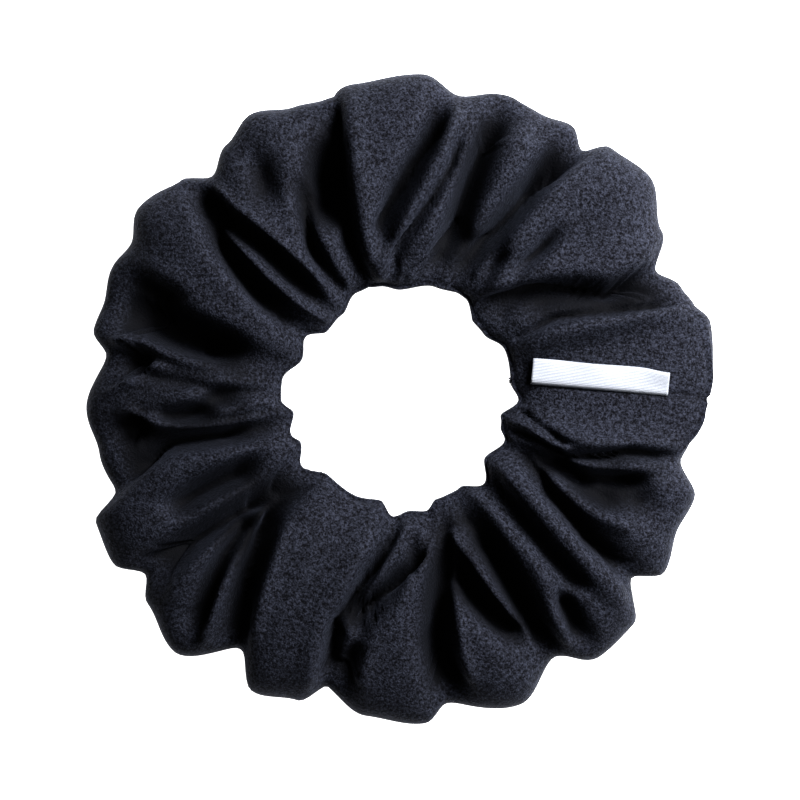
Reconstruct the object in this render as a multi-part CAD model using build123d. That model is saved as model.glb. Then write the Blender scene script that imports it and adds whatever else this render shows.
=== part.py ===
"""A gathered hair scrunchie, 22 mm tall and about 123 mm across, lying flat.

One strip of cloth is sewn into a tube, the tube is gathered on a loop of flat elastic, and its two ends are
joined by a closing seam that also catches the long edges of a folded woven label. Every seam is a lockstitch,
so it has a needle thread on one side and a bobbin thread on the other.

Frame: millimetres, +Z up along the axis of the ring, +X towards the label, origin on the resting surface at
the middle of the ring.
"""

import os
from math import cos, pi, radians, sin

from build123d import *

# ---------------------------------------------------------------- driving dimensions, in mm and degrees
HOLE_RADIUS = 21.5  # round wall that grips the hair
WALL = 1.0  # gathered cloth, taken as one wall
CLOTH = 0.5  # one flat layer of the same cloth
HEIGHT = 22.0  # top of the tallest puff
TRIM = 0.3  # how far a puff is flattened by what it presses on
CASING_LOW, CASING_HIGH = 5.5, 16.5  # the gathered edge that hugs the elastic
SHOULDER_RADIUS = 29.0  # where a puff reaches its full height

# Each puff runs from one valley of the cloth to the next:
# (valley angle, valley outer radius, crest angle, crest outer radius, crest height)
PUFFS = (
    (24.0, 57.0, 27.5, 58.5, 19.0),
    (31.0, 56.0, 43.0, 64.0, 21.5),
    (54.0, 59.5, 67.0, 62.0, 21.0),
    (79.0, 59.0, 91.0, 62.5, HEIGHT),
    (107.0, 59.5, 119.0, 62.0, 21.5),
    (131.0, 56.5, 142.5, 61.8, 21.0),
    (152.0, 58.5, 157.5, 60.5, 19.5),
    (163.0, 58.0, 168.0, 60.5, 19.0),
    (173.0, 57.5, 186.0, 61.0, 20.5),
    (198.5, 57.5, 208.0, 63.5, 21.5),
    (215.0, 58.0, 228.0, 64.5, 20.5),
    (239.0, 57.0, 248.0, 62.8, 21.0),
    (255.5, 56.5, 267.5, 62.5, 21.5),
    (279.0, 58.5, 290.0, 62.8, 20.5),
    (302.0, 56.5, 313.0, 62.5, 21.5),
    (322.0, 55.0, 333.0, 61.0, 20.5),
)
VALLEY_LOW, VALLEY_HIGH = 3.0, 16.8  # lowest and highest cloth in a valley

# The flat panel at the closing seam, from one valley to the next: (angle, outer radius)
PANEL = ((-14.5, 55.5), (-8.0, 60.0), (5.5, 61.0), (19.0, 60.8), (24.0, 57.0))
PANEL_TOP = 18.0
PANEL_SHOULDER = 24.5
PUFF_ROUNDING = (2.6, 4.0, 6.4, 6.4, 4.0, 2.6)  # from the casing's lower corner round to its upper one
PANEL_ROUNDING = (2.6, 1.6, 6.4, 6.4, 1.6, 1.6)

# Closing seam: a straight line across the panel, turned by SEAM_TURN, this far from the ring's axis
SEAM_TURN = -5.0
SEAM_OFFSET = 5.5
SEAM_ALLOWANCE = 5.0
SEAM_GROOVE = 0.3
TUBE_SEAM_HEIGHT, TUBE_SEAM_REACH = 7.2, 28.0  # the long seam's allowance, inside the tube

ELASTIC_RADIUS, ELASTIC_WIDTH, ELASTIC_THICK = 24.2, 6.0, 0.9
ELASTIC_LAP = 14.0  # length of the sewn overlap
ELASTIC_LAP_GAP = 0.05
ELASTIC_JOIN_ANGLE = 200.0
ELASTIC_ROOM = 0.35  # kept between the elastic and the seam allowances

THREAD = 0.3  # thread diameter
TUBE_STITCH_RADIUS = 24.6
CLOSING_STITCH_INSET = 1.5  # from the outside of the cloth
ZIGZAG_STEP, ZIGZAG_HEIGHT = 1.4, 4.0

LABEL_START, LABEL_LENGTH, LABEL_REACH = 24.6, 26.2, 4.6
LABEL_TAPE = 0.27  # one layer of the woven tape
LABEL_GAP = 0.08  # between the two layers
LABEL_BEAD = 0.36  # radius of the bend that the label turns on
LABEL_CLEARANCE = 0.25  # under the label

MID_HEIGHT = (CASING_LOW + CASING_HIGH) / 2
LABEL_THICK = 2 * LABEL_TAPE + LABEL_GAP
LABEL_AXIS_HEIGHT = PANEL_TOP + LABEL_CLEARANCE + LABEL_THICK / 2


# ---------------------------------------------------------------- the tube's outside
def radial_plane(angle):
    """Plane through the ring's axis, local X outwards and local Y up."""
    out = Vector(1, 0, 0).rotate(Axis.Z, angle)
    return Plane(origin=(0, 0, 0), x_dir=out, z_dir=out.cross(Vector(0, 0, 1)))


def outline(outer, low, high, shoulder, rounding, inset):
    """The tube's section as a face in local X (outwards) and Y (up), taken in by inset."""
    inner = HOLE_RADIUS - TRIM
    corners = (
        (inner, CASING_LOW),
        (shoulder, low),
        (outer, low),
        (outer, high),
        (shoulder, high),
        (inner, CASING_HIGH),
    )
    face = make_face(FilletPolyline(*corners, radius=list(rounding), close=True))
    return offset(face, -inset, kind=Kind.INTERSECTION) if inset else face


def valley(angle, outer, inset):
    """Section at the bottom of a valley between two puffs."""
    size = (outer, VALLEY_LOW, VALLEY_HIGH, SHOULDER_RADIUS)
    return radial_plane(angle) * outline(*size, PUFF_ROUNDING, inset)


def crest(angle, outer, high, inset):
    """Section at the top of a puff."""
    return radial_plane(angle) * outline(outer, -TRIM, high, SHOULDER_RADIUS, PUFF_ROUNDING, inset)


def flat(angle, outer, inset):
    """Section of the smooth panel at the closing seam."""
    return radial_plane(angle) * outline(outer, -TRIM, PANEL_TOP, PANEL_SHOULDER, PANEL_ROUNDING, inset)


def panel(inset):
    """The smooth panel between its two steep sides."""
    return loft([flat(angle, outer, inset) for angle, outer in PANEL[1:-1]])


def tube(inset):
    """The whole ring of puffs and the panel, taken in by inset."""
    valleys = [(row[0], row[1]) for row in PUFFS] + [(360 + PANEL[0][0], PANEL[0][1])]
    puffs = []
    for row, start, end in zip(PUFFS, valleys, valleys[1:]):
        puffs.append(loft([valley(*start, inset), crest(*row[2:], inset), valley(*end, inset)]))
    first_side = loft([valley(*PANEL[0], inset), flat(*PANEL[1], inset)])
    last_side = loft([flat(*PANEL[-2], inset), valley(*PANEL[-1], inset)])
    return puffs[0].fuse(*puffs[1:], first_side, panel(inset), last_side)


# ---------------------------------------------------------------- cover
def seam_place():
    """Location of the closing seam: local X along the seam, local Y across it, local Z up."""
    return Rot(0, 0, SEAM_TURN) * Pos(0, SEAM_OFFSET, 0)


def seam_slab(thickness):
    """A thin upright slab on the closing seam, across the whole panel."""
    reach = 70.0
    return seam_place() * Box(reach, thickness, reach, align=(Align.MIN, Align.CENTER, Align.CENTER))


def ring(inner, outer, low, high):
    """A flat-sided ring about the axis, between two radii and two heights."""
    size = high - low
    base = (Align.CENTER, Align.CENTER, Align.MIN)
    return Pos(0, 0, low) * (Cylinder(outer, size, align=base) - Cylinder(inner, size, align=base))


def closing_allowance():
    """The two turned-in tube ends, standing inwards from the wall along the closing seam."""
    rib = seam_slab(2 * CLOTH) & (panel(WALL / 2) - panel(WALL + SEAM_ALLOWANCE))
    half = ELASTIC_WIDTH / 2 + ELASTIC_ROOM
    inner = ELASTIC_RADIUS - ELASTIC_THICK / 2 - ELASTIC_ROOM
    return rib - ring(inner, inner + 2 * SEAM_ALLOWANCE, MID_HEIGHT - half, MID_HEIGHT + half)


def tube_allowance():
    """The two long edges of the strip, sewn together and lying inside the tube under the elastic."""
    low = TUBE_SEAM_HEIGHT - 2 * CLOTH
    return ring(HOLE_RADIUS + WALL / 2, TUBE_SEAM_REACH, low, TUBE_SEAM_HEIGHT)


def cover():
    """Cloth tube: a hollow gathered ring with the allowances of its two seams inside."""
    groove = seam_slab(SEAM_GROOVE) & (panel(0.0) - panel(SEAM_GROOVE))
    cloth = tube(0.0) - tube(WALL) + tube_allowance() + closing_allowance() - groove
    hole = Cylinder(HOLE_RADIUS, 4 * HEIGHT)
    table = Box(8 * HOLE_RADIUS, 8 * HOLE_RADIUS, HEIGHT, align=(Align.CENTER, Align.CENTER, Align.MAX))
    return cloth - hole - table


# ---------------------------------------------------------------- elastic
def elastic_line(shift):
    """Edge of the strip seen from above: once round, then outwards over its own start."""
    lap_turn = ELASTIC_LAP / ELASTIC_RADIUS
    step = ELASTIC_THICK + ELASTIC_LAP_GAP
    ramp = lap_turn / 3
    points = []
    samples = 96
    for i in range(samples + 1):
        turn = (2 * pi + lap_turn) * i / samples
        rise = min(max((turn - (2 * pi - ramp)) / ramp, 0.0), 1.0)
        radius = ELASTIC_RADIUS + shift + step * rise * rise * (3 - 2 * rise)
        points.append((radius * cos(turn), radius * sin(turn)))
    return Spline(*points)


def elastic_band():
    """Flat elastic strip, lapped and sewn into a loop."""
    inside = elastic_line(-ELASTIC_THICK / 2)
    outside = elastic_line(ELASTIC_THICK / 2)
    ends = [Line(inside @ 0, outside @ 0), Line(inside @ 1, outside @ 1)]
    strip = extrude(make_face([inside, outside, *ends]), ELASTIC_WIDTH)
    return Pos(0, 0, MID_HEIGHT - ELASTIC_WIDTH / 2) * Rot(0, 0, ELASTIC_JOIN_ANGLE) * strip


# ---------------------------------------------------------------- threads
def thread_run(points):
    """One thread through points: straight runs with round corners."""
    rods = [Pos(*point) * Sphere(THREAD / 2) for point in points]
    for start, end in zip(points, points[1:]):
        way = Vector(*end) - Vector(*start)
        rods.append(Solid.make_cylinder(THREAD / 2, way.length, Plane(origin=start, z_dir=way)))
    return rods[0].fuse(*rods[1:])


def elastic_join_thread(radius):
    """Zigzag across the lap of the elastic, lying at one radius."""
    turns = int(ELASTIC_LAP * 0.6 / ZIGZAG_STEP)
    first = ELASTIC_LAP * 0.2
    points = []
    for i in range(turns + 1):
        angle = radians(ELASTIC_JOIN_ANGLE) + (first + i * ZIGZAG_STEP) / ELASTIC_RADIUS
        height = MID_HEIGHT + ZIGZAG_HEIGHT / 2 * (1 if i % 2 else -1)
        points.append((radius * cos(angle), radius * sin(angle), height))
    return thread_run(points)


def tube_seam_thread(height):
    """Thread of the long seam, all the way round on one side of its allowance."""
    return Pos(0, 0, height) * Torus(TUBE_STITCH_RADIUS, THREAD / 2)


def closing_seam_thread(side):
    """Thread of the closing seam, right round the tube's section on one side of its allowance."""
    inset = CLOSING_STITCH_INSET
    inner = HOLE_RADIUS - TRIM + inset
    outer = PANEL[2][1] - inset
    corners = (
        (inner, CASING_LOW + inset),
        (PANEL_SHOULDER + inset, inset),
        (outer, inset),
        (outer, PANEL_TOP - inset),
        (PANEL_SHOULDER + inset, PANEL_TOP - inset),
        (inner, CASING_HIGH - inset / 2),
    )
    path = Plane.XZ * FilletPolyline(*corners, radius=[1.2, 1.2, 5.0, 5.0, 1.0, 0.8], close=True)
    section = Plane(origin=path @ 0.4, z_dir=path % 0.4) * Circle(THREAD / 2)
    loop = sweep(section, path=path)
    return seam_place() * Pos(0, side * (CLOTH + THREAD / 2), 0) * loop


# ---------------------------------------------------------------- label
def label():
    """Woven label folded along its far edge, turning on the bend where it leaves the closing seam."""
    fold = LABEL_REACH - LABEL_THICK / 2
    tape = Pos(fold / 2, 0) * Rectangle(fold, LABEL_THICK) + Pos(fold, 0) * Circle(LABEL_THICK / 2)
    slit = Pos((fold + LABEL_BEAD) / 2, 0) * Rectangle(fold - LABEL_BEAD, LABEL_GAP)
    slit += Pos(fold, 0) * Circle(LABEL_GAP / 2)
    flap = extrude(Plane.YZ * (tape + Circle(LABEL_BEAD) - slit), LABEL_LENGTH)
    return seam_place() * Pos(LABEL_START, 0, LABEL_AXIS_HEIGHT) * flap


def main():
    inside = ELASTIC_RADIUS - ELASTIC_THICK / 2 - THREAD / 2
    outside = ELASTIC_RADIUS + 3 * ELASTIC_THICK / 2 + ELASTIC_LAP_GAP + THREAD / 2
    pieces = {
        "cover": cover(),
        "elastic_band": elastic_band(),
        "elastic_join_needle_thread": elastic_join_thread(outside),
        "elastic_join_bobbin_thread": elastic_join_thread(inside),
        "tube_seam_needle_thread": tube_seam_thread(TUBE_SEAM_HEIGHT + THREAD / 2),
        "tube_seam_bobbin_thread": tube_seam_thread(TUBE_SEAM_HEIGHT - 2 * CLOTH - THREAD / 2),
        "closing_seam_needle_thread": closing_seam_thread(1),
        "closing_seam_bobbin_thread": closing_seam_thread(-1),
        "label": label(),
    }
    os.makedirs("parts", exist_ok=True)
    for name, piece in pieces.items():
        export_step(piece, f"parts/{name}.step")


main()
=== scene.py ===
from math import cos, pi, radians, sin

import bmesh
import bpy
import numpy as np
from mathutils import Matrix, Vector
from mathutils.bvhtree import BVHTree


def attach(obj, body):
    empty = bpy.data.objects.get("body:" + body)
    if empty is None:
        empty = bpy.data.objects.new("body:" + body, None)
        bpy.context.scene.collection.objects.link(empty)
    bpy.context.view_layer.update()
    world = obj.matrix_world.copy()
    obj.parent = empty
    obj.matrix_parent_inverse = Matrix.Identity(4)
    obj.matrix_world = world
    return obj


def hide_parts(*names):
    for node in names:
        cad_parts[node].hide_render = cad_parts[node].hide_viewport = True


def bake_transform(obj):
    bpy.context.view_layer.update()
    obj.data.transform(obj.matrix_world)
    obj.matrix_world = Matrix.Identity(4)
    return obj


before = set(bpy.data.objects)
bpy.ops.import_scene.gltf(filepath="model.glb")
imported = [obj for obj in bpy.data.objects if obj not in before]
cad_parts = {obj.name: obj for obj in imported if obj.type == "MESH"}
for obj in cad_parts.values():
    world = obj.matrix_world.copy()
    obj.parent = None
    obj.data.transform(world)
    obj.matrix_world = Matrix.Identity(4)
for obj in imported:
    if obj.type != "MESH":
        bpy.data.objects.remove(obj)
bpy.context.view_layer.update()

# ------------------------------------------------------------------------------------------------ cover
# The cover is one strip of thick, soft-brushed, near-black cloth. It is sewn into a tube along its length,
# turned out, gathered on the elastic so that it stands up in puffs, and its two ends are seamed together
# under a smooth panel. Lengths in its tables are millimetres and turns are degrees.
MM = 0.001
CLOTH_THICKNESS = 0.5
COLUMNS, ROWS = 440, 112  # of the outer skin; every second one is settled by the cloth solver
MIDDLE_HEIGHT, HALF_HEIGHT = 10.7, 10.9  # of the tube's section
ROUND_SIDES, ROUND_TOP = 0.72, 0.62  # 1 is an ellipse, and less makes that part of the section squarer
LOWEST = 0.15  # no cloth is nearer the table than this
ELASTIC_TOP, ELASTIC_FOOT = 14.8, 5.6  # the cloth passes over and under the elastic at these heights
ELASTIC_OUTSIDE, CLEAR_OF_ELASTIC = 25.8, 29.0  # radii between which the cloth rises from it
PANEL_TURN, PANEL_HALF, PANEL_TOP = 4.5, 15.0, 17.9  # the smooth panel's middle, half width and height
HIGHEST_FOLD = 2.6  # no fold stands higher than this over the puff it is on
LIP_WIDTH = 4.5  # how far from a valley its lips die out

# The closing seam crosses the panel on a straight line, turned this much, this far from the ring's axis
SEAM_TURN, SEAM_OFFSET = -5.0, 5.5
# The depth of the closing seam's groove, and the share of painted shade laid along the seam's line
SEAM_GROOVE, SEAM_SHADE = 0.6, 0.7
SEAM_ALLOWANCE, ALLOWANCE_BY_ELASTIC = 5.0, 0.8
SEAM_EASE = 8.0  # turn over which the mesh's columns bend to follow the seam

# Outline of the ring seen from above, and of its hole: (turn, radius) at each crest, shoulder and valley
RIM = (
    (-12.5, 55.6), (-3, 59.3), (5, 60.9), (15, 62.3), (18.5, 60.0), (22, 58.9), (27, 56.0),
    (33, 60.2), (42, 64.7), (50, 63.5), (54, 60.4), (58, 62.6), (63, 61.7), (70, 62.6), (79, 60.0),
    (86, 62.9), (98, 61.6), (106, 59.9), (110, 60.2), (117.5, 62.3), (124, 59.8), (130, 56.8),
    (135, 60.4), (144, 62.6), (150, 60.2), (156, 61.4), (162, 60.4), (167, 60.9), (171.5, 57.8),
    (181.5, 60.8), (190, 59.2), (197.5, 58.2), (202, 63.4), (210, 63.9), (214.5, 60.0), (219, 62.6),
    (228, 65.2), (237.5, 57.8), (243, 63.4), (251, 61.3), (255.5, 57.8), (264, 61.4), (274.5, 62.9),
    (279, 60.0), (291.5, 63.2), (300.5, 58.4), (308, 62.9), (316, 62.6), (322.5, 56.9),
    (327, 61.2), (335, 59.2), (341.5, 60.2),
)
HOLE = (
    (-9, 19.6), (0, 22.9), (8, 21.7), (25, 22.4), (38, 20.5), (47, 20.5), (57, 23.3), (72, 22.5),
    (90, 21.3), (100, 22.3), (112, 22.3), (124, 19.9), (137, 19.3), (146, 21.6), (158, 20.4),
    (170, 22.9), (180, 22.8), (187, 20.5), (198, 21.8), (203, 20.8), (214, 22.2), (226, 20.0),
    (245, 20.4), (259, 19.7), (267, 22.3), (275, 21.4), (283, 21.8), (290, 20.0), (304, 20.1),
    (315, 22.9), (326, 19.8), (339, 21.4), (345, 20.0),
)
# Where each valley between two puffs runs, as its turn at these radii from the ring's axis
VALLEY_RADII = (60.0, 44.0, 32.0, 23.0)
# (turns of the valley, its depth and half width, how much its far lip stands over the near one, then the
# roundness and the rise of the puff that follows it)
PUFFS = (
    ((-12, -12.6, -18.5, -15.5), 5, 0.9, 1.2, 0.0, 0.0),
    ((19.5, 22.6, 28, 28), 4, 0.8, -1.2, 0.3, -1.6),
    ((26, 27.5, 39, 49), 7.5, 1.4, 2.2, 1.0, 0.4),
    ((54.5, 58.3, 61, 66), 8, 1.6, -1.5, 0.8, -0.4),
    ((71.5, 72.5, 72.5, 76), 8, 2.0, 1.4, 1.0, 0.5),
    ((102, 104.2, 106.4, 106.6), 7, 0.9, -2.4, 0.9, -0.3),
    ((133, 139.3, 143.3, 145.3), 8, 1.5, 1.2, 0.9, 0.4),
    ((157, 161.5, 164, 164), 3, 2.5, -0.8, 0.3, -1.8),
    ((173, 175, 177, 177), 3, 1.5, 0.0, 0.3, -1.6),
    ((197, 190.5, 191.5, 191.5), 7.5, 1.9, 2.2, 0.9, 0.2),
    ((214, 214.5, 215.5, 215), 8, 2.0, 0.6, 0.9, -0.5),
    ((237.5, 229.3, 222.7, 218), 8, 2.0, 0.8, 0.9, 0.5),
    ((255.5, 253.6, 259.5, 268), 7, 1.1, -2.0, 0.9, -0.2),
    ((280, 278.6, 283.8, 289.5), 8, 2.6, 0.0, 0.9, 0.0),
    ((301.3, 301.3, 301.8, 300), 8, 1.9, 1.0, 0.8, 0.2),
    ((322.4, 323.3, 327.7, 336), 7, 1.1, -1.4, 0.8, -0.3),
)
# Smaller folds on top: (height, half width, (radius, turn) points along it). Hollows have negative heights.
FOLDS = (
    (-3.0, 0.9, ((31, 345.5), (27, 349), (23, 353.5))),
    (1.2, 1.2, ((36, 341), (30, 343), (25, 349))),
    (1.6, 1.3, ((54, 346), (47, 344.5), (42, 341), (34, 339.5), (24, 340))),
    (-5.0, 1.5, ((47, 341), (41, 339.3), (34, 337.2), (28, 338))),
    (-3.5, 2.4, ((44, 333.5), (37, 334.2))),
    (-3.0, 1.0, ((36, 335.5), (29, 338), (25, 338.6))),
    (-3.0, 3.0, ((52, 337), (43, 338))),
    (1.5, 1.6, ((48, 330.5), (40, 329), (32, 332))),
    (-5.0, 2.0, ((61, 307.5), (50, 309))),
    (-3.5, 2.2, ((49, 314.5), (38, 314), (32, 315.5), (24, 317.5))),
    (1.6, 1.6, ((58, 303.7), (51, 305.3), (43, 309.3), (37, 310.9))),
    (1.5, 2.4, ((56, 318), (45, 319), (35, 321), (25, 325))),
    (1.8, 1.1, ((58, 298.6), (52, 299), (43, 296.6), (36, 294.2), (27, 291))),
    (-6.5, 2.2, ((50, 295.5), (44, 293), (38, 290.8), (33, 290))),
    (1.8, 1.4, ((55, 284), (47, 283.6), (40, 284.5), (32, 287), (27, 289.4))),
    (1.6, 1.6, ((53, 261.6), (47, 262.4), (41, 267.2), (34, 273.5), (27, 281.5))),
    (-2.5, 1.8, ((57, 259), (50, 260))),
    (-6.5, 1.5, ((41, 259.2), (35, 265.6), (31, 271.2), (28.5, 276))),
    (1.3, 1.1, ((50, 256.2), (46, 257.4), (41, 261.2), (37.5, 265.6))),
    (1.8, 1.2, ((43, 255.6), (36, 260), (29.5, 266.4), (24, 272))),
    (-2.0, 0.7, ((31, 275), (23, 284))),
    (1.8, 1.4, ((58, 220.3), (50, 218.7), (41, 217.9), (33, 217.5))),
    (-6.0, 2.0, ((58, 227), (50, 223.5), (42, 221), (36, 219.5))),
    (2.2, 1.0, ((60, 231), (52, 227.6), (44.5, 224.6), (38, 221.6), (29, 218.7))),
    (1.6, 1.2, ((53, 238.6), (44.5, 234.8), (36, 230.2), (29, 224.5))),
    (-6.5, 2.4, ((46, 205), (40, 204), (30, 204))),
    (-5.0, 3.0, ((58, 187), (52, 185.5))),
    (2.2, 0.9, ((53, 182.1), (47, 185.4), (41, 187.1), (34, 187.9), (27, 187.6))),
    (-3.5, 1.5, ((43, 183.6), (37, 183))),
    (1.4, 1.6, ((35, 184), (29, 182.5), (24, 180.5))),
    (1.6, 0.8, ((58, 178.8), (52, 175.9), (48, 172.2))),
    (-4.0, 1.8, ((56, 171.5), (52, 171.2))),
    (-2.5, 1.6, ((34, 179.5), (31, 180))),
    (1.2, 1.5, ((43, 181), (38, 178), (33, 173))),
    (2.4, 1.2, ((58, 168.5), (52, 166.6), (46, 168.2), (39.5, 169.8), (34, 169.5))),
    (-7.5, 3.2, ((58, 162), (50, 162), (44, 163.2), (34, 164))),
    (-4.0, 2.0, ((56, 155), (48, 155.5))),
    (1.8, 1.0, ((54, 130.6), (47, 130.8), (38, 128), (31, 125), (22.5, 120.2))),
    (-6.5, 1.5, ((58, 134), (51, 133.6), (44.5, 133), (38, 131.4), (30, 130.4), (25, 130.4))),
    (2.0, 1.1, ((48, 136.6), (41, 137), (33, 137.4), (26, 136.5), (21, 132.5))),
    (-7.5, 3.2, ((50, 107), (45, 109.3), (38, 111.2))),
    (-4.5, 1.3, ((42, 115.6), (33, 120.2), (27, 120), (22, 118.6))),
    (-3.0, 3.6, ((54, 121), (47, 123))),
    (1.6, 3.0, ((34, 113.5), (25, 113.5))),
    (1.4, 2.2, ((31, 100.5), (26, 101))),
    (-3.5, 0.9, ((51, 77), (44.5, 78), (38, 81), (32, 86), (27, 92.6))),
    (2.2, 1.1, ((55, 78.7), (47, 80.2), (39.5, 84.2), (33, 89.7), (26, 99))),
    (-6.5, 1.9, ((56, 82.4), (50, 84), (42, 88), (37, 91.5), (32, 96))),
    (-2.0, 0.7, ((29.5, 73), (26.8, 78.5), (23.7, 88))),
    (1.4, 3.0, ((56, 65), (44, 66), (34, 67.5))),
    (-3.5, 1.6, ((58, 58.3), (46, 59.6))),
    (-4.5, 1.4, ((40, 47.2), (37, 47), (34.5, 47.5))),
    (-1.2, 4.5, ((52, 43), (43, 45))),
    (-3.5, 1.3, ((32, 54.5), (28, 55))),
    (-2.5, 1.8, ((26, 42), (22.5, 42))),
    (1.4, 1.6, ((56, 53), (44, 54.4), (37, 55))),
)


def smooth(low, high, value):
    """0 below low, 1 above high, and an easy rise between."""
    part = np.clip((value - low) / (high - low), 0.0, 1.0)
    return part * part * (3.0 - 2.0 * part)


def wrap(turn):
    """A turn in degrees, brought to -180..180."""
    return (turn + 180.0) % 360.0 - 180.0


def line_turn(points, radius):
    """Turn at which a line through (radius, turn) points crosses each radius."""
    radii, turns = np.array(sorted(points), float).T
    return np.interp(radius, radii, turns)


def around(points, turn):
    """Radius of an outline at each turn, easing from point to point right round the ring."""
    turns, radii = np.array(points + ((points[0][0] + 360.0, points[0][1]),), float).T
    turn = (turn - turns[0]) % 360.0 + turns[0]
    at = np.clip(np.searchsorted(turns, turn, side="right") - 1, 0, len(points) - 1)
    return radii[at] + (radii[at + 1] - radii[at]) * smooth(turns[at], turns[at + 1], turn)


def puff_place(turn, radius):
    """Which puff each point is on, how far across it (-1..1) and half its width there."""
    lines = [line_turn(tuple(zip(VALLEY_RADII, puff[0])), radius) for puff in PUFFS]
    lines = np.stack(lines + [lines[0] + 360.0])
    turn = (turn - lines[0]) % 360.0 + lines[0]
    at = (turn[None, :] >= lines[1:-1]).sum(axis=0)
    start = np.take_along_axis(lines, at[None, :], 0)[0]
    end = np.take_along_axis(lines, at[None, :] + 1, 0)[0]
    return at, (turn - start) / (end - start) * 2.0 - 1.0, np.radians(end - start) * radius / 2.0


def relief(turn, radius, folds):
    """How far the folds raise or sink the cloth along its normal."""
    at, across, half = puff_place(turn, radius)
    roundness, lift = np.array([puff[4:6] for puff in PUFFS])[at].T
    from_valley = (1.0 - np.abs(across)) * half
    height = lift * smooth(0.0, 4.0, from_valley)
    height -= (0.3 + 1.8 * roundness) * np.abs(across) ** 3 * smooth(0.0, 2.0, from_valley)
    off_hole = smooth(21.0, 30.0, radius)
    for line, depth, width, step, *_ in PUFFS:
        away = np.radians(wrap(turn - line_turn(tuple(zip(VALLEY_RADII, line)), radius))) * radius
        height -= depth * (0.75 + 0.25 * off_hole) * np.exp(-np.abs(away / width) ** 1.4)
        height += step * off_hole * np.tanh(away / width) * np.exp(-((away / LIP_WIDTH) ** 2))
    for rise, width, points in folds:
        low, high = min(points)[0], max(points)[0]
        away = np.radians(wrap(turn - line_turn(points, radius))) * radius
        ends = smooth(low - 5.0, low + 1.0, radius) * (1.0 - smooth(high - 2.0, high + 5.0, radius))
        height += rise * ends * np.exp(-((away / width) ** 2))
    return np.minimum(height, HIGHEST_FOLD * np.tanh(height / HIGHEST_FOLD))


def panel_share(turn):
    """1 on the smooth panel, 0 away from it."""
    return np.exp(-np.abs((wrap(turn) - PANEL_TURN) / PANEL_HALF) ** 8)


def gathered(turn, tilt):
    """Places of the cloth, and how far it is raised there. Its tilt is 0 at the rim and 90 on top."""
    reach, rise = np.cos(np.radians(tilt)), np.sin(np.radians(tilt))
    hole = around(HOLE, turn)
    half = (around(RIM, turn) - hole) / 2.0
    radius = hole + half + half * np.sign(reach) * np.abs(reach) ** ROUND_SIDES
    panel = panel_share(turn) * (rise > 0)
    top = HALF_HEIGHT - (MIDDLE_HEIGHT + HALF_HEIGHT - PANEL_TOP) * panel
    height = top * np.sign(rise) * np.abs(rise) ** (ROUND_TOP - 0.2 * panel)
    height = height * (1.0 - 0.12 * smooth(34.0, 22.0, radius) * (1.0 - 0.9 * panel))
    upper = relief(turn, radius, FOLDS)
    wander = 4.0 * np.sin(np.radians(turn) * 7.0)  # of the valleys underneath, away from those on top
    lower = relief(turn + wander, radius, ())
    share = smooth(-0.15, 0.35, rise)
    depth = share * upper + (1.0 - share) * lower
    depth = np.where(depth < 0, depth * (1.25 - 0.6 * smooth(31.0, 26.0, radius)), depth)
    depth = depth * (1.0 - 0.92 * smooth(0.7, 0.97, reach)) * (1.0 - 0.9 * smooth(0.8, 0.98, -reach))
    radius = radius + reach * depth
    height = np.maximum(MIDDLE_HEIGHT + height + rise * depth, LOWEST)
    over_elastic = smooth(CLEAR_OF_ELASTIC, ELASTIC_OUTSIDE, radius)
    height = np.where(rise > 0, np.maximum(height, ELASTIC_TOP * over_elastic), height)
    height = np.where(rise < 0, height + np.minimum(ELASTIC_FOOT - height, 0.0) * over_elastic, height)
    angle = np.radians(turn)
    return np.stack([radius * np.cos(angle), radius * np.sin(angle), height], axis=1), depth


def seam_shift(turn, radius):
    """Extra turn that brings the column at turn 0 onto the closing seam."""
    line = np.degrees(np.arcsin(np.clip(SEAM_OFFSET / radius, -1.0, 1.0))) + SEAM_TURN
    return line * np.exp(-((wrap(turn) / SEAM_EASE) ** 2))


def get_places(mesh):
    places = np.empty(len(mesh.vertices) * 3)
    mesh.vertices.foreach_get("co", places)
    return places.reshape(-1, 3)


def set_places(mesh, places):
    mesh.vertices.foreach_set("co", np.asarray(places).ravel())
    mesh.update()


def tube_mesh(name, columns, rows):
    """A plain ring-shaped tube, spun from its section, with each vertex's column and row."""
    bm = bmesh.new()
    ring_radius, tube_radius = 4.0, 1.0
    section = bmesh.ops.create_circle(bm, segments=rows, radius=tube_radius)["verts"]
    upright = Matrix.Rotation(pi / 2, 4, "X")
    bmesh.ops.transform(bm, matrix=Matrix.Translation((ring_radius, 0, 0)) @ upright, verts=section)
    geometry = bm.verts[:] + bm.edges[:]
    about = {"cent": (0, 0, 0), "axis": (0, 0, 1), "angle": 2 * pi}
    bmesh.ops.spin(bm, geom=geometry, steps=columns, use_merge=True, **about)
    bmesh.ops.remove_doubles(bm, verts=bm.verts[:], dist=1e-4)
    bmesh.ops.recalc_face_normals(bm, faces=bm.faces[:])
    mesh = bpy.data.meshes.new(name)
    bm.to_mesh(mesh)
    bm.free()
    places = get_places(mesh)
    turn = np.arctan2(places[:, 1], places[:, 0])
    tilt = np.arctan2(places[:, 2], np.hypot(places[:, 0], places[:, 1]) - ring_radius)
    column = np.round(turn / (2 * pi) * columns).astype(int) % columns
    row = np.round(tilt / (2 * pi) * rows).astype(int) % rows
    return mesh, column, row


SIM_SCALE = 20.0  # the cloth solver works best on a ring a couple of metres across
SIM_FRAMES, GATHER_FRAMES = 32, 18
GATHER = 6.0  # how much wider the ring is before the elastic draws it in
GATHER_RADIUS = 40.0  # where the gathering is reckoned, so that the panel keeps its width


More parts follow.
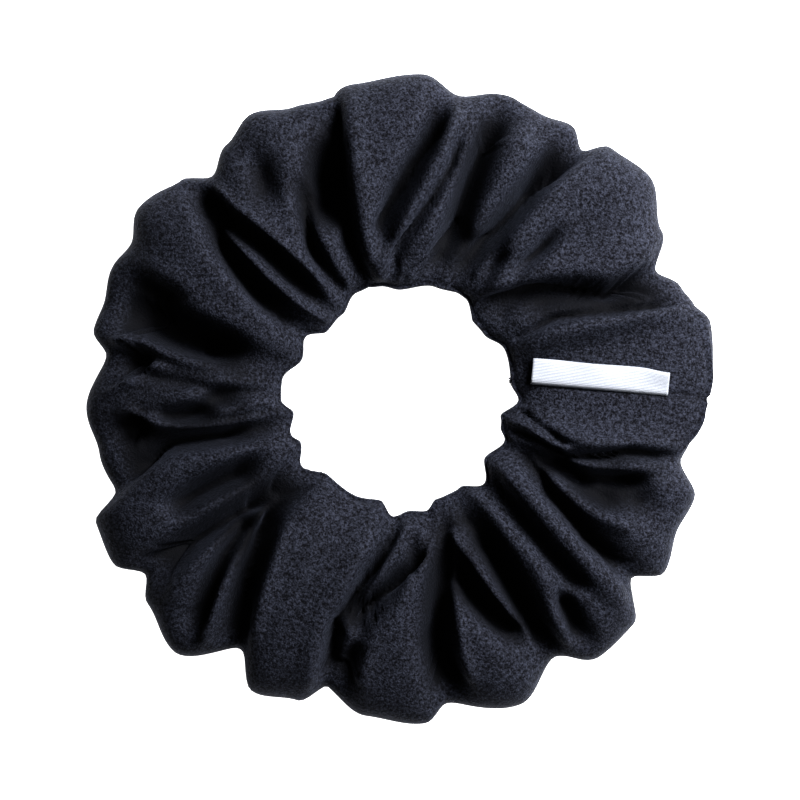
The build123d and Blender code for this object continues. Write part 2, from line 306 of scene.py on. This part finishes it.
def settle(mesh, turn, tilt, target):
    """Draws the cloth in on its elastic with the cloth solver, so that it wrinkles and presses on itself."""
    radius = np.hypot(target[:, 0], target[:, 1])
    angle = np.arctan2(target[:, 1], target[:, 0])
    # The turn of each place before the gathering, which leaves out the panel
    steps = np.radians(np.arange(-180.0, 180.5, 0.5))
    rate = 1.0 - panel_share(np.degrees(steps)) * GATHER / (GATHER_RADIUS + GATHER)
    turned = np.concatenate([[0.0], np.cumsum((rate[1:] + rate[:-1]) / 2.0 * np.diff(steps))])
    turned = turned * 2 * pi / turned[-1]
    panel_middle = radians(PANEL_TURN)
    turned += panel_middle - np.interp(panel_middle, steps, turned)
    wide_angle = np.interp(angle, steps, turned)
    wide_radius = radius + GATHER * (1.0 - 0.7 * smooth(42.0, 60.0, radius))
    wide_x, wide_y = wide_radius * np.cos(wide_angle), wide_radius * np.sin(wide_angle)
    wide = np.stack([wide_x, wide_y, target[:, 2]], axis=1)
    cloth = bpy.data.objects.new("settling", mesh.copy())
    bpy.context.scene.collection.objects.link(cloth)
    set_places(cloth.data, wide * MM * SIM_SCALE)
    cloth.shape_key_add(name="wide")
    drawn = cloth.shape_key_add(name="drawn")
    drawn.data.foreach_set("co", (target * MM * SIM_SCALE).ravel())
    drawn.value = 0.0
    drawn.keyframe_insert("value", frame=1)
    drawn.value = 1.0
    drawn.keyframe_insert("value", frame=1 + GATHER_FRAMES)

    rise, reach = np.sin(np.radians(tilt)), np.cos(np.radians(tilt))
    # The share of its way that each place is held to: on top, by the seam, at the rim and at the elastic
    hold = np.where(rise > 0.2, 0.75, 0.5)
    hold = np.where((np.abs(wrap(turn) - 0.5) < 8.0) & (rise > 0.05), 1.0, hold)
    hold = np.where(reach > 0.85, 0.8, hold)
    hold = np.where(reach < -0.9, 1.0, hold)
    group = cloth.vertex_groups.new(name="hold")
    for value in np.unique(hold):
        group.add(np.flatnonzero(hold == value).tolist(), float(value), "REPLACE")

    solver = cloth.modifiers.new("cloth", "CLOTH")
    settings, touch = solver.settings, solver.collision_settings
    settings.quality = 7
    settings.mass = 0.3
    settings.tension_stiffness = settings.compression_stiffness = 15
    settings.shear_stiffness = 5
    settings.bending_stiffness = 8
    settings.tension_damping = settings.compression_damping = 8
    settings.shear_damping = 5
    settings.bending_damping = 2
    settings.air_damping = 2
    settings.vertex_group_mass = "hold"
    settings.pin_stiffness = 1
    settings.effector_weights.gravity = 0
    settings.use_pressure = True
    settings.uniform_pressure_force = 1.2
    touch.distance_min = 0.01
    touch.collision_quality = 2
    touch.use_self_collision = True
    touch.self_distance_min = 0.012
    touch.self_friction = 5

    bpy.ops.mesh.primitive_plane_add(size=8)
    table = bpy.context.object
    table.modifiers.new("table", "COLLISION")
    table.collision.thickness_outer = 0.005
    scene = bpy.context.scene
    solver.point_cache.frame_start, solver.point_cache.frame_end = 1, SIM_FRAMES
    for step in range(1, SIM_FRAMES + 1):
        scene.frame_set(step)
    settled = cloth.evaluated_get(bpy.context.evaluated_depsgraph_get())
    places = get_places(settled.data) / (MM * SIM_SCALE)
    by_elastic = smooth(28.5, 26.0, np.minimum(radius, np.hypot(places[:, 0], places[:, 1])))
    over = (rise > 0) & (reach > -0.9)
    places[over, 2] = np.maximum(places[over, 2], ELASTIC_TOP * by_elastic[over])
    under = (rise < 0) & (reach > -0.9)
    places[under, 2] += np.minimum(ELASTIC_FOOT - places[under, 2], 0.0) * by_elastic[under]
    spare = [cloth.data, table.data]
    bpy.data.objects.remove(cloth)
    bpy.data.objects.remove(table)
    for data in spare:
        bpy.data.meshes.remove(data)
    scene.frame_set(1)
    return places


def apply_modifiers(piece):
    """Makes the modifiers' result the piece's own mesh."""
    final = bpy.data.meshes.new_from_object(piece.evaluated_get(bpy.context.evaluated_depsgraph_get()))
    final.name = piece.name
    piece.modifiers.clear()
    piece.data = final


def add_piece(name, mesh):
    piece = bpy.data.objects.new(name, mesh)
    bpy.context.scene.collection.objects.link(piece)
    mesh.shade_smooth()
    return piece


def get_normals(mesh):
    normals = np.empty(len(mesh.vertices) * 3)
    mesh.vertex_normals.foreach_get("vector", normals)
    return normals.reshape(-1, 3)


def outwards(mesh):
    """Makes the faces of a single closed skin point out."""
    bm = bmesh.new()
    bm.from_mesh(mesh)
    bmesh.ops.recalc_face_normals(bm, faces=bm.faces[:])
    bm.to_mesh(mesh)
    bm.free()


def shape_of(column, row, columns, rows):
    """Turn and tilt of each vertex, its place on the gathered tube and how far it is raised there."""
    turn, tilt = wrap(column * 360.0 / columns), wrap(row * 360.0 / rows)
    rough_radius = 42.0 + 20.0 * np.cos(np.radians(tilt))
    return turn, tilt, *gathered(turn + seam_shift(turn, rough_radius), tilt)


def refine(grid):
    """Values at every second column and row, spread smoothly to the ones between."""
    for axis in (0, 1):
        here, after = grid, np.roll(grid, -1, axis)
        before, later = np.roll(grid, 1, axis), np.roll(grid, -2, axis)
        between = (9.0 * (here + after) - before - later) / 16.0
        grid = np.stack([here, between], axis=axis + 1).reshape(
            [size * (2 if at == axis else 1) for at, size in enumerate(grid.shape)]
        )
    return grid


EASE_PASSES = 3  # evens out wrinkles as narrow as the solver's own mesh
coarse, column, row = tube_mesh("settling", COLUMNS // 2, ROWS // 2)
settled = np.zeros((COLUMNS // 2, ROWS // 2, 3))
turn, tilt, target, _ = shape_of(column, row, COLUMNS // 2, ROWS // 2)
settled[column, row] = settle(coarse, turn, tilt, target) - target
for _ in range(EASE_PASSES):
    settled = (np.roll(settled, 1, 0) + 2.0 * settled + np.roll(settled, -1, 0)) / 4.0
bpy.data.meshes.remove(coarse)

cover_mesh, cover_column, cover_row = tube_mesh("cover_cloth", COLUMNS, ROWS)
_, _, cover_places, cover_rise = shape_of(cover_column, cover_row, COLUMNS, ROWS)
cover_places = cover_places + refine(settled)[cover_column, cover_row]
set_places(cover_mesh, cover_places * MM)
outwards(cover_mesh)
cover_out = get_normals(cover_mesh)
inside = cover_mesh.copy()
set_places(inside, (cover_places - cover_out * CLOTH_THICKNESS) * MM)
inside.flip_normals()

# The line of the closing seam, from the rim over the top and back underneath, and its way out
on_seam = np.flatnonzero(cover_column == 0)
on_seam = on_seam[np.argsort(cover_row[on_seam])]
seam_line, seam_out = cover_places[on_seam], cover_out[on_seam]
seam_across = np.array([sin(-radians(SEAM_TURN)), cos(radians(SEAM_TURN)), 0.0])
seam_radius = np.hypot(seam_line[:, 0], seam_line[:, 1])[:, None]
cover_places[on_seam] -= seam_out * SEAM_GROOVE * smooth(24.0, 27.0, seam_radius)
set_places(cover_mesh, cover_places * MM)
# Painted shade: the cloth's colour is darkened towards black at the bottom of the folds, by their depth, and
# along the closing seam's groove, where shade falls.
painted_shade = smooth(0.3, 5.0, -cover_rise)
painted_shade[on_seam] = np.maximum(painted_shade[on_seam], SEAM_SHADE)
painted_fold_shade = cover_mesh.attributes.new("painted_fold_shade", "FLOAT", "POINT")
painted_fold_shade.data.foreach_set("value", painted_shade.astype(np.float32))
cover = add_piece("cover_cloth", cover_mesh)


def closing_allowance():
    """The two cut ends inside the tube, pressed together behind the seam, and shallower by the elastic."""
    bm = bmesh.new()
    bmesh.ops.create_circle(bm, segments=len(seam_line), radius=1.0)
    bmesh.ops.extrude_edge_only(bm, edges=bm.edges[:])
    mesh = bpy.data.meshes.new("closing_allowance")
    bm.to_mesh(mesh)
    bm.free()
    past_elastic = smooth(25.0, 31.0, seam_radius)
    depth = ALLOWANCE_BY_ELASTIC + (SEAM_ALLOWANCE - ALLOWANCE_BY_ELASTIC) * past_elastic
    edge = seam_line - seam_out * SEAM_GROOVE
    set_places(mesh, np.concatenate([edge, edge - seam_out * depth]) * MM)
    strip = add_piece("closing_allowance", mesh)
    layers = strip.modifiers.new("layers", "SOLIDIFY")
    layers.thickness = 1.8 * CLOTH_THICKNESS * MM
    layers.offset = 0
    apply_modifiers(strip)
    data = strip.data
    bpy.data.objects.remove(strip)
    return data


whole = bmesh.new()
for layer in (cover.data, inside, closing_allowance()):
    whole.from_mesh(layer)
whole.to_mesh(cover.data)
whole.free()


def new_material(name, roughness, specular=0.5):
    """A material, its node tree and its surface."""
    material = bpy.data.materials.new(name)
    material.use_nodes = True
    surface = material.node_tree.nodes["Principled BSDF"]
    surface.inputs["Roughness"].default_value = roughness
    surface.inputs["Specular IOR Level"].default_value = specular
    return material, material.node_tree, surface


def add_node(tree, kind, **inputs):
    node = tree.nodes.new(kind)
    for key, value in inputs.items():
        node.inputs[key.replace("_", " ")].default_value = value
    return node


def multiply(tree, one, other):
    product = tree.nodes.new("ShaderNodeMath")
    product.operation = "MULTIPLY"
    tree.links.new(one, product.inputs[0])
    tree.links.new(other, product.inputs[1])
    return product.outputs[0]


def grain(tree, surface, value, colours, positions, strength, depth):
    """Colours the surface between two colours by a value, and raises it by the same value."""
    tone = tree.nodes.new("ShaderNodeValToRGB")
    for stop, colour, position in zip(tone.color_ramp.elements, colours, positions):
        stop.position = position
        stop.color = colour
    bump = add_node(tree, "ShaderNodeBump", Strength=strength, Distance=depth)
    tree.links.new(value, tone.inputs["Fac"])
    tree.links.new(tone.outputs["Color"], surface.inputs["Base Color"])
    tree.links.new(value, bump.inputs["Height"])
    tree.links.new(bump.outputs["Normal"], surface.inputs["Normal"])
    return tone


CLOTH_COLOURS = (0.001, 0.001, 0.003, 1), (0.040, 0.044, 0.062, 1)  # between the tufts, and on them
FOLD_SHADE_COLOUR = (0.002, 0.0022, 0.004, 1)  # painted shade at the bottom of the folds and along the closing seam


def cloth_material():
    """Brushed cloth: short raised nap lying in small tufts, near black with a cool tint, and darkened with
    painted shade in the folds and along the closing seam.
    """
    material, tree, surface = new_material("brushed_cloth", 0.85, 0.22)
    surface.inputs["Sheen Weight"].default_value = 0.06
    surface.inputs["Sheen Roughness"].default_value = 0.5
    surface.inputs["Sheen Tint"].default_value = (0.55, 0.62, 0.85, 1)
    link = tree.links.new
    place = tree.nodes.new("ShaderNodeTexCoord")
    nap = add_node(tree, "ShaderNodeTexNoise", Scale=2700.0, Detail=1.5, Roughness=0.6)
    link(place.outputs["Object"], nap.inputs["Vector"])
    tuft = add_node(tree, "ShaderNodeTexNoise", Scale=1500.0, Detail=2.0, Roughness=0.6)
    link(place.outputs["Object"], tuft.inputs["Vector"])
    both = multiply(tree, nap.outputs["Fac"], tuft.outputs["Fac"])
    tone = grain(tree, surface, both, CLOTH_COLOURS, (0.15, 0.40), 0.8, 0.0004)
    # Painted shade: the colour is mixed towards the dark fold colour by each vertex's share of painted fold
    # shade.
    depth = tree.nodes.new("ShaderNodeAttribute")
    depth.attribute_name = "painted_fold_shade"
    fold_shade_mix = tree.nodes.new("ShaderNodeMix")
    fold_shade_mix.data_type = "RGBA"
    fold_shade_mix.inputs["B"].default_value = FOLD_SHADE_COLOUR
    link(depth.outputs["Fac"], fold_shade_mix.inputs["Factor"])
    link(tone.outputs["Color"], fold_shade_mix.inputs["A"])
    link(fold_shade_mix.outputs["Result"], surface.inputs["Base Color"])
    return material


cover.data.materials.clear()
cover.data.materials.append(cloth_material())
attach(cover, "band")
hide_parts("cover")

# ------------------------------------------------------------------------------------------------ label
# A woven tape folded in half along its length. Both cut edges are caught in the closing seam, so it lies on
# the panel as a small double flap. It is white, and nothing is woven into it here.
LABEL_START, LABEL_LENGTH = 24.6, 26.2  # along the seam, from the foot of the ring's axis
LABEL_WIDTH, LABEL_REACH = 19.4, 4.6  # of the flat tape; from the seam to the fold
LABEL_TAPE, LABEL_GAP = 0.27, 0.25  # thickness of the tape; room kept over the cloth
TAPE_COLOURS = (0.24, 0.255, 0.29, 1), (0.46, 0.48, 0.53, 1)  # between the ribs, and on them
# The folded tape from one hidden edge to the other: across from the seam, and up from the cloth
LABEL_FOLD = (
    (0.15, -4.8), (0.15, -0.6), (0.4, 0.0), (0.9, 0.13), (4.3, 0.13), (4.52, 0.2), (LABEL_REACH, 0.34),
    (4.52, 0.5), (4.3, 0.6), (2.5, 0.66), (0.8, 0.6), (0.2, 0.45), (-0.1, 0.0), (-0.18, -0.6), (-0.18, -4.8),
)


def over_seam(along, across, height):
    """Places in millimetres from lengths along the closing seam, across it and up."""
    turn = radians(SEAM_TURN)
    across = across + SEAM_OFFSET
    x, y = along * cos(turn) - across * sin(turn), along * sin(turn) + across * cos(turn)
    return np.stack([x, y, height + 0.0 * along], axis=-1)


def cloth_under(along):
    """Height of the cloth under the label at each length along it, eased out along the label."""
    corners = [vertex.co for vertex in cover.data.vertices]
    skin = BVHTree.FromPolygons(corners, [face.vertices for face in cover.data.polygons])
    stations = np.linspace(LABEL_START - 1.0, LABEL_START + LABEL_LENGTH + 1.0, 30)
    heights = []
    for station in stations:
        starts = over_seam(np.full(5, station), np.linspace(0.4, LABEL_REACH, 5), 60.0) * MM
        heights.append(max(skin.ray_cast(Vector(start), Vector((0, 0, -1)))[0].z for start in starts) / MM)
    eased = np.convolve(np.pad(heights, 3, mode="edge"), np.ones(7) / 7, mode="valid")
    return np.interp(along, stations, np.maximum(eased, np.array(heights) - 0.1))


bm = bmesh.new()
bm.loops.layers.uv.new("tape")
bmesh.ops.create_grid(bm, x_segments=60, y_segments=64, size=0.5, calc_uvs=True)
label_mesh = bpy.data.meshes.new("woven_label")
bm.to_mesh(label_mesh)
bm.free()
share_along, share_over = (get_places(label_mesh)[:, :2] + 0.5).T
fold_across, fold_height = np.array(LABEL_FOLD).T
fold_length = np.concatenate([[0.0], np.cumsum(np.hypot(np.diff(fold_across), np.diff(fold_height)))])
across = np.interp(share_over * fold_length[-1], fold_length, fold_across)
height = np.interp(share_over * fold_length[-1], fold_length, fold_height)
label_along = LABEL_START + LABEL_LENGTH * share_along
curl = smooth(0.78, 1.0, share_along) * smooth(0.5, LABEL_REACH, across)
ripple = 0.12 * np.sin(share_along * 17.0) * smooth(0.5, LABEL_REACH, across)
height = height + cloth_under(label_along) + LABEL_GAP + 0.9 * curl + ripple
sway = 0.06 * np.sin(share_along * 11.0) * smooth(2.0, LABEL_REACH, across)
across = across * (1.0 - 0.10 * curl) + sway
set_places(label_mesh, over_seam(label_along, across, height) * MM)
label = add_piece("woven_label", label_mesh)
tape = label.modifiers.new("tape", "SOLIDIFY")
tape.thickness = LABEL_TAPE * MM
tape.offset = 0
apply_modifiers(label)


def tape_material():
    """Satin tape: fine close ribs, matte white with a cool tint, and a little grey between the ribs."""
    material, tree, surface = new_material("label_tape", 0.55, 0.3)
    link = tree.links.new
    place = tree.nodes.new("ShaderNodeUVMap")
    place.uv_map = "tape"
    warp = tree.nodes.new("ShaderNodeMapping")
    warp.inputs["Scale"].default_value = (LABEL_LENGTH, LABEL_WIDTH, 1.0)
    link(place.outputs["UV"], warp.inputs["Vector"])
    ribs = add_node(tree, "ShaderNodeTexWave", Scale=1.1, Distortion=0.6, Detail=2.0, Detail_Scale=2.0)
    ribs.bands_direction = "Y"
    link(warp.outputs["Vector"], ribs.inputs["Vector"])
    yarn = add_node(tree, "ShaderNodeTexNoise", Scale=3.2, Detail=3.0, Roughness=0.6)
    link(warp.outputs["Vector"], yarn.inputs["Vector"])
    both = multiply(tree, ribs.outputs["Fac"], yarn.outputs["Fac"])
    grain(tree, surface, both, TAPE_COLOURS, (0.0, 0.45), 0.5, 0.0001)
    return material


label.data.materials.clear()
label.data.materials.append(tape_material())
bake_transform(label)
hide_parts("label")

# ------------------------------------------------------------------------------------------------ seams
# Black spun polyester thread. The long seam of the tube and the closing seam are lockstitched: one thread on
# each side of the cloth, pulled into it at every needle hole.
THREAD, STITCH = 0.3, 2.6
NEEDLE_HOLE = 0.09  # share of a stitch over which the thread dives into a needle hole
STITCH_SINK = 0.2  # how far the closing seam's threads lie under its groove
THREAD_COLOURS = (0.006, 0.006, 0.008, 1), (0.030, 0.030, 0.036, 1)
TUBE_SEAM_RADIUS, TUBE_SEAM_HEIGHT = 24.6, 6.5


def thread_material():
    """Spun thread: two plies wound round each other, with short stray fibres."""
    material, tree, surface = new_material("sewing_thread", 0.7, 0.3)
    place = tree.nodes.new("ShaderNodeTexCoord")
    plies = add_node(tree, "ShaderNodeTexWave", Scale=900.0, Distortion=1.5, Detail=2.0)
    plies.bands_direction = "DIAGONAL"
    tree.links.new(place.outputs["Object"], plies.inputs["Vector"])
    grain(tree, surface, plies.outputs["Fac"], THREAD_COLOURS, (0.0, 1.0), 0.5, 0.00006)
    return material


thread_paint = thread_material()


def add_thread(node, places, closed):
    """A round thread through the places, standing for that CAD node."""
    name = node.replace("_thread", "_stitches")
    curve = bpy.data.curves.new(name, "CURVE")
    curve.dimensions = "3D"
    curve.bevel_depth = THREAD / 2 * MM
    curve.bevel_resolution = 1
    curve.use_fill_caps = True
    spline = curve.splines.new("POLY")
    spline.points.add(len(places) - 1)
    spline.points.foreach_set("co", np.column_stack([places * MM, np.ones(len(places))]).ravel())
    spline.use_cyclic_u = closed
    rod = bpy.data.objects.new(name, curve)
    bpy.context.scene.collection.objects.link(rod)
    mesh = bpy.data.meshes.new_from_object(rod)
    bpy.data.objects.remove(rod)
    thread = add_piece(name, mesh)
    mesh.materials.clear()
    mesh.materials.append(thread_paint)
    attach(thread, "band")
    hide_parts(node)


def around_loop(places, step):
    """The closed line through the places, cut into equal short steps, and the length up to each."""
    ring = np.vstack([places, places[:1]])
    length = np.concatenate([[0.0], np.cumsum(np.linalg.norm(np.diff(ring, axis=0), axis=1))])
    count = int(round(length[-1] / step))
    at = np.arange(count) * length[-1] / count
    return np.stack([np.interp(at, length, ring[:, axis]) for axis in range(3)], axis=1), at


def lockstitch(node, places, across, reach):
    """A thread lying reach to one side of the seam and pulled to its middle at every needle hole."""
    line, at = around_loop(places, STITCH / 10)
    hole = np.abs(at / STITCH - np.round(at / STITCH))
    pull = np.exp(-((hole / NEEDLE_HOLE) ** 2))
    add_thread(node, line + np.outer(reach * (1.0 - pull), across), True)


side = CLOTH_THICKNESS + THREAD / 2
closing_line = seam_line - seam_out * (SEAM_GROOVE + STITCH_SINK)
lockstitch("closing_seam_needle_thread", closing_line, seam_across, side)
lockstitch("closing_seam_bobbin_thread", closing_line, seam_across, -side)
turn = np.linspace(0, 2 * pi, 360, endpoint=False)
tube_seam = TUBE_SEAM_RADIUS * np.stack([np.cos(turn), np.sin(turn), 0 * turn], axis=1)
tube_seam[:, 2] = TUBE_SEAM_HEIGHT
lockstitch("tube_seam_needle_thread", tube_seam, (0, 0, 1), side)
lockstitch("tube_seam_bobbin_thread", tube_seam, (0, 0, 1), -side)

# ------------------------------------------------------------------------------------------------ elastic
# A flat white braided elastic inside the tube's inner edge. Its ends lap over each other and are joined by a
# zigzag of thread. It draws the cloth in all the way round.
ELASTIC_RADIUS, ELASTIC_WIDTH, ELASTIC_THICKNESS = 24.2, 6.0, 0.9
ELASTIC_LENGTH = 166.0  # of the cut strip
ELASTIC_MIDDLE = 11.0  # height of the middle of the strip
ELASTIC_LAP, ELASTIC_JOIN_TURN, LAP_GAP = 14.0, 200.0, 0.05
ELASTIC_RIBS = 7
ELASTIC_COLOURS = (0.50, 0.49, 0.46, 1), (0.78, 0.77, 0.74, 1)
ZIGZAG_STEP, ZIGZAG_HEIGHT = 1.4, 4.0


def elastic_radius(turned):
    """Radius of the strip that far round from its start, in radians: it steps out over its own start."""
    lap = ELASTIC_LAP / ELASTIC_RADIUS
    return ELASTIC_RADIUS + (ELASTIC_THICKNESS + LAP_GAP) * smooth(2 * pi - lap / 3, 2 * pi, turned)


bm = bmesh.new()
bm.loops.layers.uv.new("braid")
bmesh.ops.create_grid(bm, x_segments=300, y_segments=42, size=0.5, calc_uvs=True)
elastic_mesh = bpy.data.meshes.new("braided_elastic")
bm.to_mesh(elastic_mesh)
bm.free()
share_along, share_over = (get_places(elastic_mesh)[:, :2] + 0.5).T
turned = share_along * (2 * pi + ELASTIC_LAP / ELASTIC_RADIUS)
radius, turn = elastic_radius(turned), turned + radians(ELASTIC_JOIN_TURN)
height = ELASTIC_MIDDLE + ELASTIC_WIDTH * (share_over - 0.5)
set_places(elastic_mesh, np.stack([radius * np.cos(turn), radius * np.sin(turn), height], axis=1) * MM)
elastic = add_piece("braided_elastic", elastic_mesh)
ribs = elastic.vertex_groups.new(name="ribs")
rib_share = 0.78 + 0.22 * np.abs(np.cos(share_over * pi * ELASTIC_RIBS)) ** 0.7
rib_share *= smooth(-0.01, 0.05, np.minimum(share_over, 1.0 - share_over)) * 0.4 + 0.6
for index, value in enumerate(rib_share):
    ribs.add([index], float(value), "REPLACE")
strip = elastic.modifiers.new("strip", "SOLIDIFY")
strip.thickness = ELASTIC_THICKNESS * MM
strip.offset = 0
strip.vertex_group = "ribs"
apply_modifiers(elastic)


def braid_material():
    """Braided cover over rubber cores: slanting yarns on each rib, white and matte."""
    material, tree, surface = new_material("braided_elastic", 0.8, 0.3)
    place = tree.nodes.new("ShaderNodeUVMap")
    place.uv_map = "braid"
    spread = tree.nodes.new("ShaderNodeMapping")
    spread.inputs["Scale"].default_value = (ELASTIC_LENGTH, ELASTIC_WIDTH, 1.0)
    spread.inputs["Rotation"].default_value = (0, 0, radians(35))
    tree.links.new(place.outputs["UV"], spread.inputs["Vector"])
    yarns = add_node(tree, "ShaderNodeTexWave", Scale=0.9, Distortion=1.0, Detail=2.0)
    tree.links.new(spread.outputs["Vector"], yarns.inputs["Vector"])
    grain(tree, surface, yarns.outputs["Fac"], ELASTIC_COLOURS, (0.0, 1.0), 0.6, 0.0001)
    return material


elastic.data.materials.clear()
elastic.data.materials.append(braid_material())
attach(elastic, "band")
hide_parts("elastic_band")

zigzag = []
for count in range(int(ELASTIC_LAP * 0.6 / ZIGZAG_STEP) + 1):
    turned = 2 * pi + (ELASTIC_LAP * 0.2 + count * ZIGZAG_STEP) / ELASTIC_RADIUS
    zigzag.append((turned, ELASTIC_MIDDLE + ZIGZAG_HEIGHT / 2 * (1 if count % 2 else -1)))
turned, height = np.array(zigzag).T
turn = turned + radians(ELASTIC_JOIN_TURN)
outer = elastic_radius(turned) + ELASTIC_THICKNESS / 2
inner = ELASTIC_RADIUS - ELASTIC_THICKNESS / 2
for node, radius in (("elastic_join_needle_thread", outer), ("elastic_join_bobbin_thread", inner)):
    places = np.stack([radius * np.cos(turn), radius * np.sin(turn), height], axis=1)
    add_thread(node, places, False)

# ------------------------------------------------------------------------------------------------ studio
# A plain pale table, one large soft lamp high at the back, a weak fill and a pale surround.
table_mesh = bpy.data.meshes.new("table")
bm = bmesh.new()
bmesh.ops.create_grid(bm, x_segments=1, y_segments=1, size=3.0)
bm.to_mesh(table_mesh)
bm.free()
table = bpy.data.objects.new("table", table_mesh)
bpy.context.scene.collection.objects.link(table)
table_paint, _, table_surface = new_material("table_paint", 0.8)
table_surface.inputs["Base Color"].default_value = (0.9, 0.9, 0.9, 1)
table_surface.inputs["Emission Color"].default_value = (1, 1, 1, 1)
table_surface.inputs["Emission Strength"].default_value = 1.0
table_mesh.materials.append(table_paint)


def add_lamp(name, place, size, power):
    light = bpy.data.lights.new(name, "AREA")
    light.shape = "DISK"
    light.size = size
    light.energy = power
    lamp = bpy.data.objects.new(name, light)
    lamp.location = place
    lamp.rotation_euler = (-Vector(place)).to_track_quat("-Z", "Y").to_euler()
    bpy.context.scene.collection.objects.link(lamp)


add_lamp("key_lamp", (0.19, 0.19, 0.26), 0.16, 2.45)
add_lamp("fill_lamp", (0.30, 0.0, 0.30), 0.2, 0.9)
world = bpy.data.worlds.new("surround")
bpy.context.scene.world = world
world.use_nodes = True
world.node_tree.nodes["Background"].inputs["Color"].default_value = (1, 1, 1, 1)
world.node_tree.nodes["Background"].inputs["Strength"].default_value = 0.03

CAMERA_HEIGHT, RING_HEIGHT = 0.9, 0.011  # above the table, of the camera and of the ring's middle
CAMERA_FIELD = 0.1538  # width seen at the ring's middle
SENSOR_WIDTH = 36.0
camera_data = bpy.data.cameras.new("camera")
camera_data.sensor_width = SENSOR_WIDTH
camera_data.lens = SENSOR_WIDTH * (CAMERA_HEIGHT - RING_HEIGHT) / CAMERA_FIELD
camera = bpy.data.objects.new("camera", camera_data)
camera.location = (0, 0, CAMERA_HEIGHT)
bpy.context.scene.collection.objects.link(camera)
bpy.context.scene.camera = camera
bpy.context.scene.view_settings.view_transform = "Standard"
bpy.context.scene.view_settings.look = "High Contrast"
